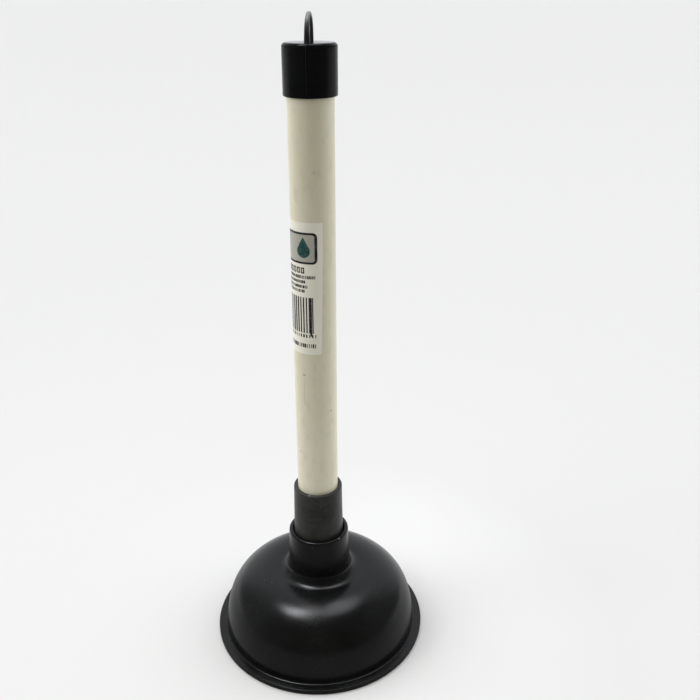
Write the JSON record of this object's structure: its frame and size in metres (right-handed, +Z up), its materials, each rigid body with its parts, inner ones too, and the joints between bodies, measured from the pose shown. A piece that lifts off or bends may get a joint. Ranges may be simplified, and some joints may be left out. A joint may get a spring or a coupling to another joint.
{
  "type": "sink plunger",
  "caption": "Small hand plunger: domed rubber force cup with a flat sealing rim, soft neck sleeve, straight hollow plastic handle and black end cap with a hanging loop.",
  "frame": {"origin": "middle of the force cup's rim, in the plane that the rim rests on", "axes": "+Z up along the handle; the hanging loop's arch lies in the YZ plane, and the label's right edge is to the front right, towards -Y and +X"},
  "size_m": [0.1088, 0.1088, 0.3048],
  "materials": {
    "cup_rubber": "satin black moulded rubber",
    "sleeve_rubber": "matte black moulded rubber",
    "handle_plastic": "smooth cream extruded plastic",
    "plug_plastic": "plain moulded plastic",
    "cap_plastic": "satin black soft plastic",
    "label_paper": "printed white paper"
  },
  "bodies": {
    "cup": {"force_cup": "cup_rubber"},
    "handle": {"neck_sleeve": "sleeve_rubber", "handle_tube": "handle_plastic", "lower_plug": "plug_plastic", "end_cap": "cap_plastic", "label": "label_paper"}
  },
  "joints": [
    {"name": "cup_stroke", "type": "slide", "parent": "cup", "child": "handle", "axis": [0, 0, -1], "range_m": [0, 0.02], "stiffness_N_per_m": 2000, "deforming": ["force_cup"]}
  ]
}
